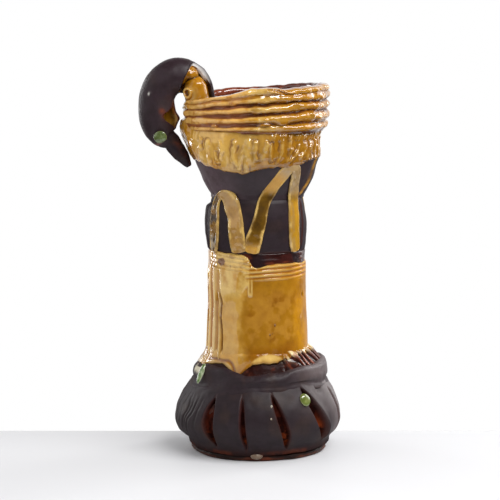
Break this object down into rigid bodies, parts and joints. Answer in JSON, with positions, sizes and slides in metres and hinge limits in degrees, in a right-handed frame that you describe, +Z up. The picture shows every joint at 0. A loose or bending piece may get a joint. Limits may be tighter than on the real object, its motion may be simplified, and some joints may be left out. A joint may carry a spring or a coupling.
{
  "type": "puzzle jug",
  "caption": "Hand-built slipware puzzle jug: slashed round base, amber stem, zigzag collar, coiled rim cup and a swan-neck sucking spout with a hidden vent.",
  "frame": {"origin": "centre of the foot's underside, on the surface the jug stands on", "axes": "+Z up the stem; the pictured front looks along -Y; the spout stands at -X"},
  "size_m": [0.1536, 0.127, 0.3007],
  "materials": {
    "bare_clay": "matt",
    "black_slip": "satin",
    "amber_glaze": "gloss",
    "oxblood_slip": "gloss",
    "cup_brown": "gloss",
    "green_glaze": "gloss"
  },
  "bodies": {
    "root": {"foot_slab": "bare_clay", "base_pot": "bare_clay", "base_mantle": "black_slip", "shoulder_coil": "black_slip", "core_tube": "bare_clay", "stem_wrap": "amber_glaze", "stem_skirt": "amber_glaze", "neck_ring": "oxblood_slip", "collar_wrap": "black_slip", "cup_bowl": "cup_brown", "funnel_wrap": "black_slip", "fluted_band": "amber_glaze", "rim_coil_1": "amber_glaze", "rim_coil_2": "amber_glaze", "rim_coil_3": "amber_glaze", "rim_coil_4": "amber_glaze", "rim_lip": "amber_glaze", "zigzag_strip_01": "amber_glaze", "zigzag_strip_02": "amber_glaze", "zigzag_strip_03": "amber_glaze", "zigzag_strip_04": "amber_glaze", "zigzag_strip_05": "amber_glaze", "zigzag_strip_06": "amber_glaze", "zigzag_strip_07": "amber_glaze", "zigzag_strip_08": "amber_glaze", "zigzag_strip_09": "amber_glaze", "zigzag_strip_10": "amber_glaze", "spout_hood": "black_slip", "beak": "black_slip", "drinking_tube": "amber_glaze", "vent_ring": "amber_glaze", "dip_tube": "bare_clay", "green_pellets": "green_glaze"}
  },
  "joints": []
}
